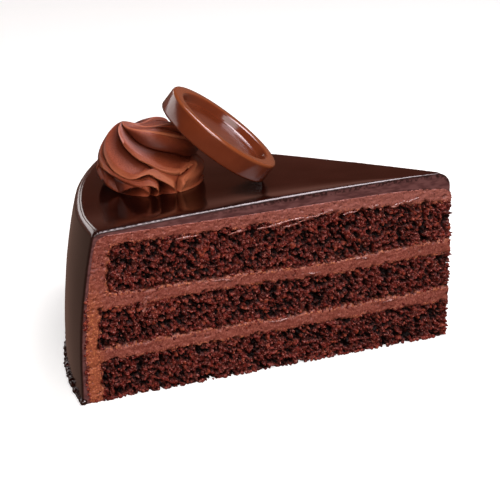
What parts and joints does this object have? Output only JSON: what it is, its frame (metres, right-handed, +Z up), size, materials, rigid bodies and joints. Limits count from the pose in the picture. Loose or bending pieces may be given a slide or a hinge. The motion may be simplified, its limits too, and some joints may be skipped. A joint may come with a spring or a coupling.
{
  "type": "slice of chocolate layer cake",
  "caption": "Wedge of chocolate layer cake with cream fillings, a glazed top and side, a piped rosette and a leaning chocolate disc.",
  "frame": {"origin": "middle of the footprint box, on the plane the slice stands on", "axes": "+X towards the pointed end, -X towards the curved outer side, +Z up; the two cuts face -Y and +Y"},
  "size_m": [0.1192, 0.0938, 0.0816],
  "materials": {
    "sponge": "open crumb, matt with moist glints",
    "cream": "spread cream, satin",
    "glaze": "poured glaze, mirror gloss",
    "piped_cream": "whipped cream, satin",
    "chocolate": "moulded chocolate, semi-gloss"
  },
  "bodies": {
    "root": {"sponge_bottom": "sponge", "filling_lower": "cream", "sponge_middle": "sponge", "filling_upper": "cream", "sponge_top": "sponge", "cream_coat": "cream", "glaze": "glaze", "rosette": "piped_cream", "chocolate_disc": "chocolate"}
  },
  "joints": []
}
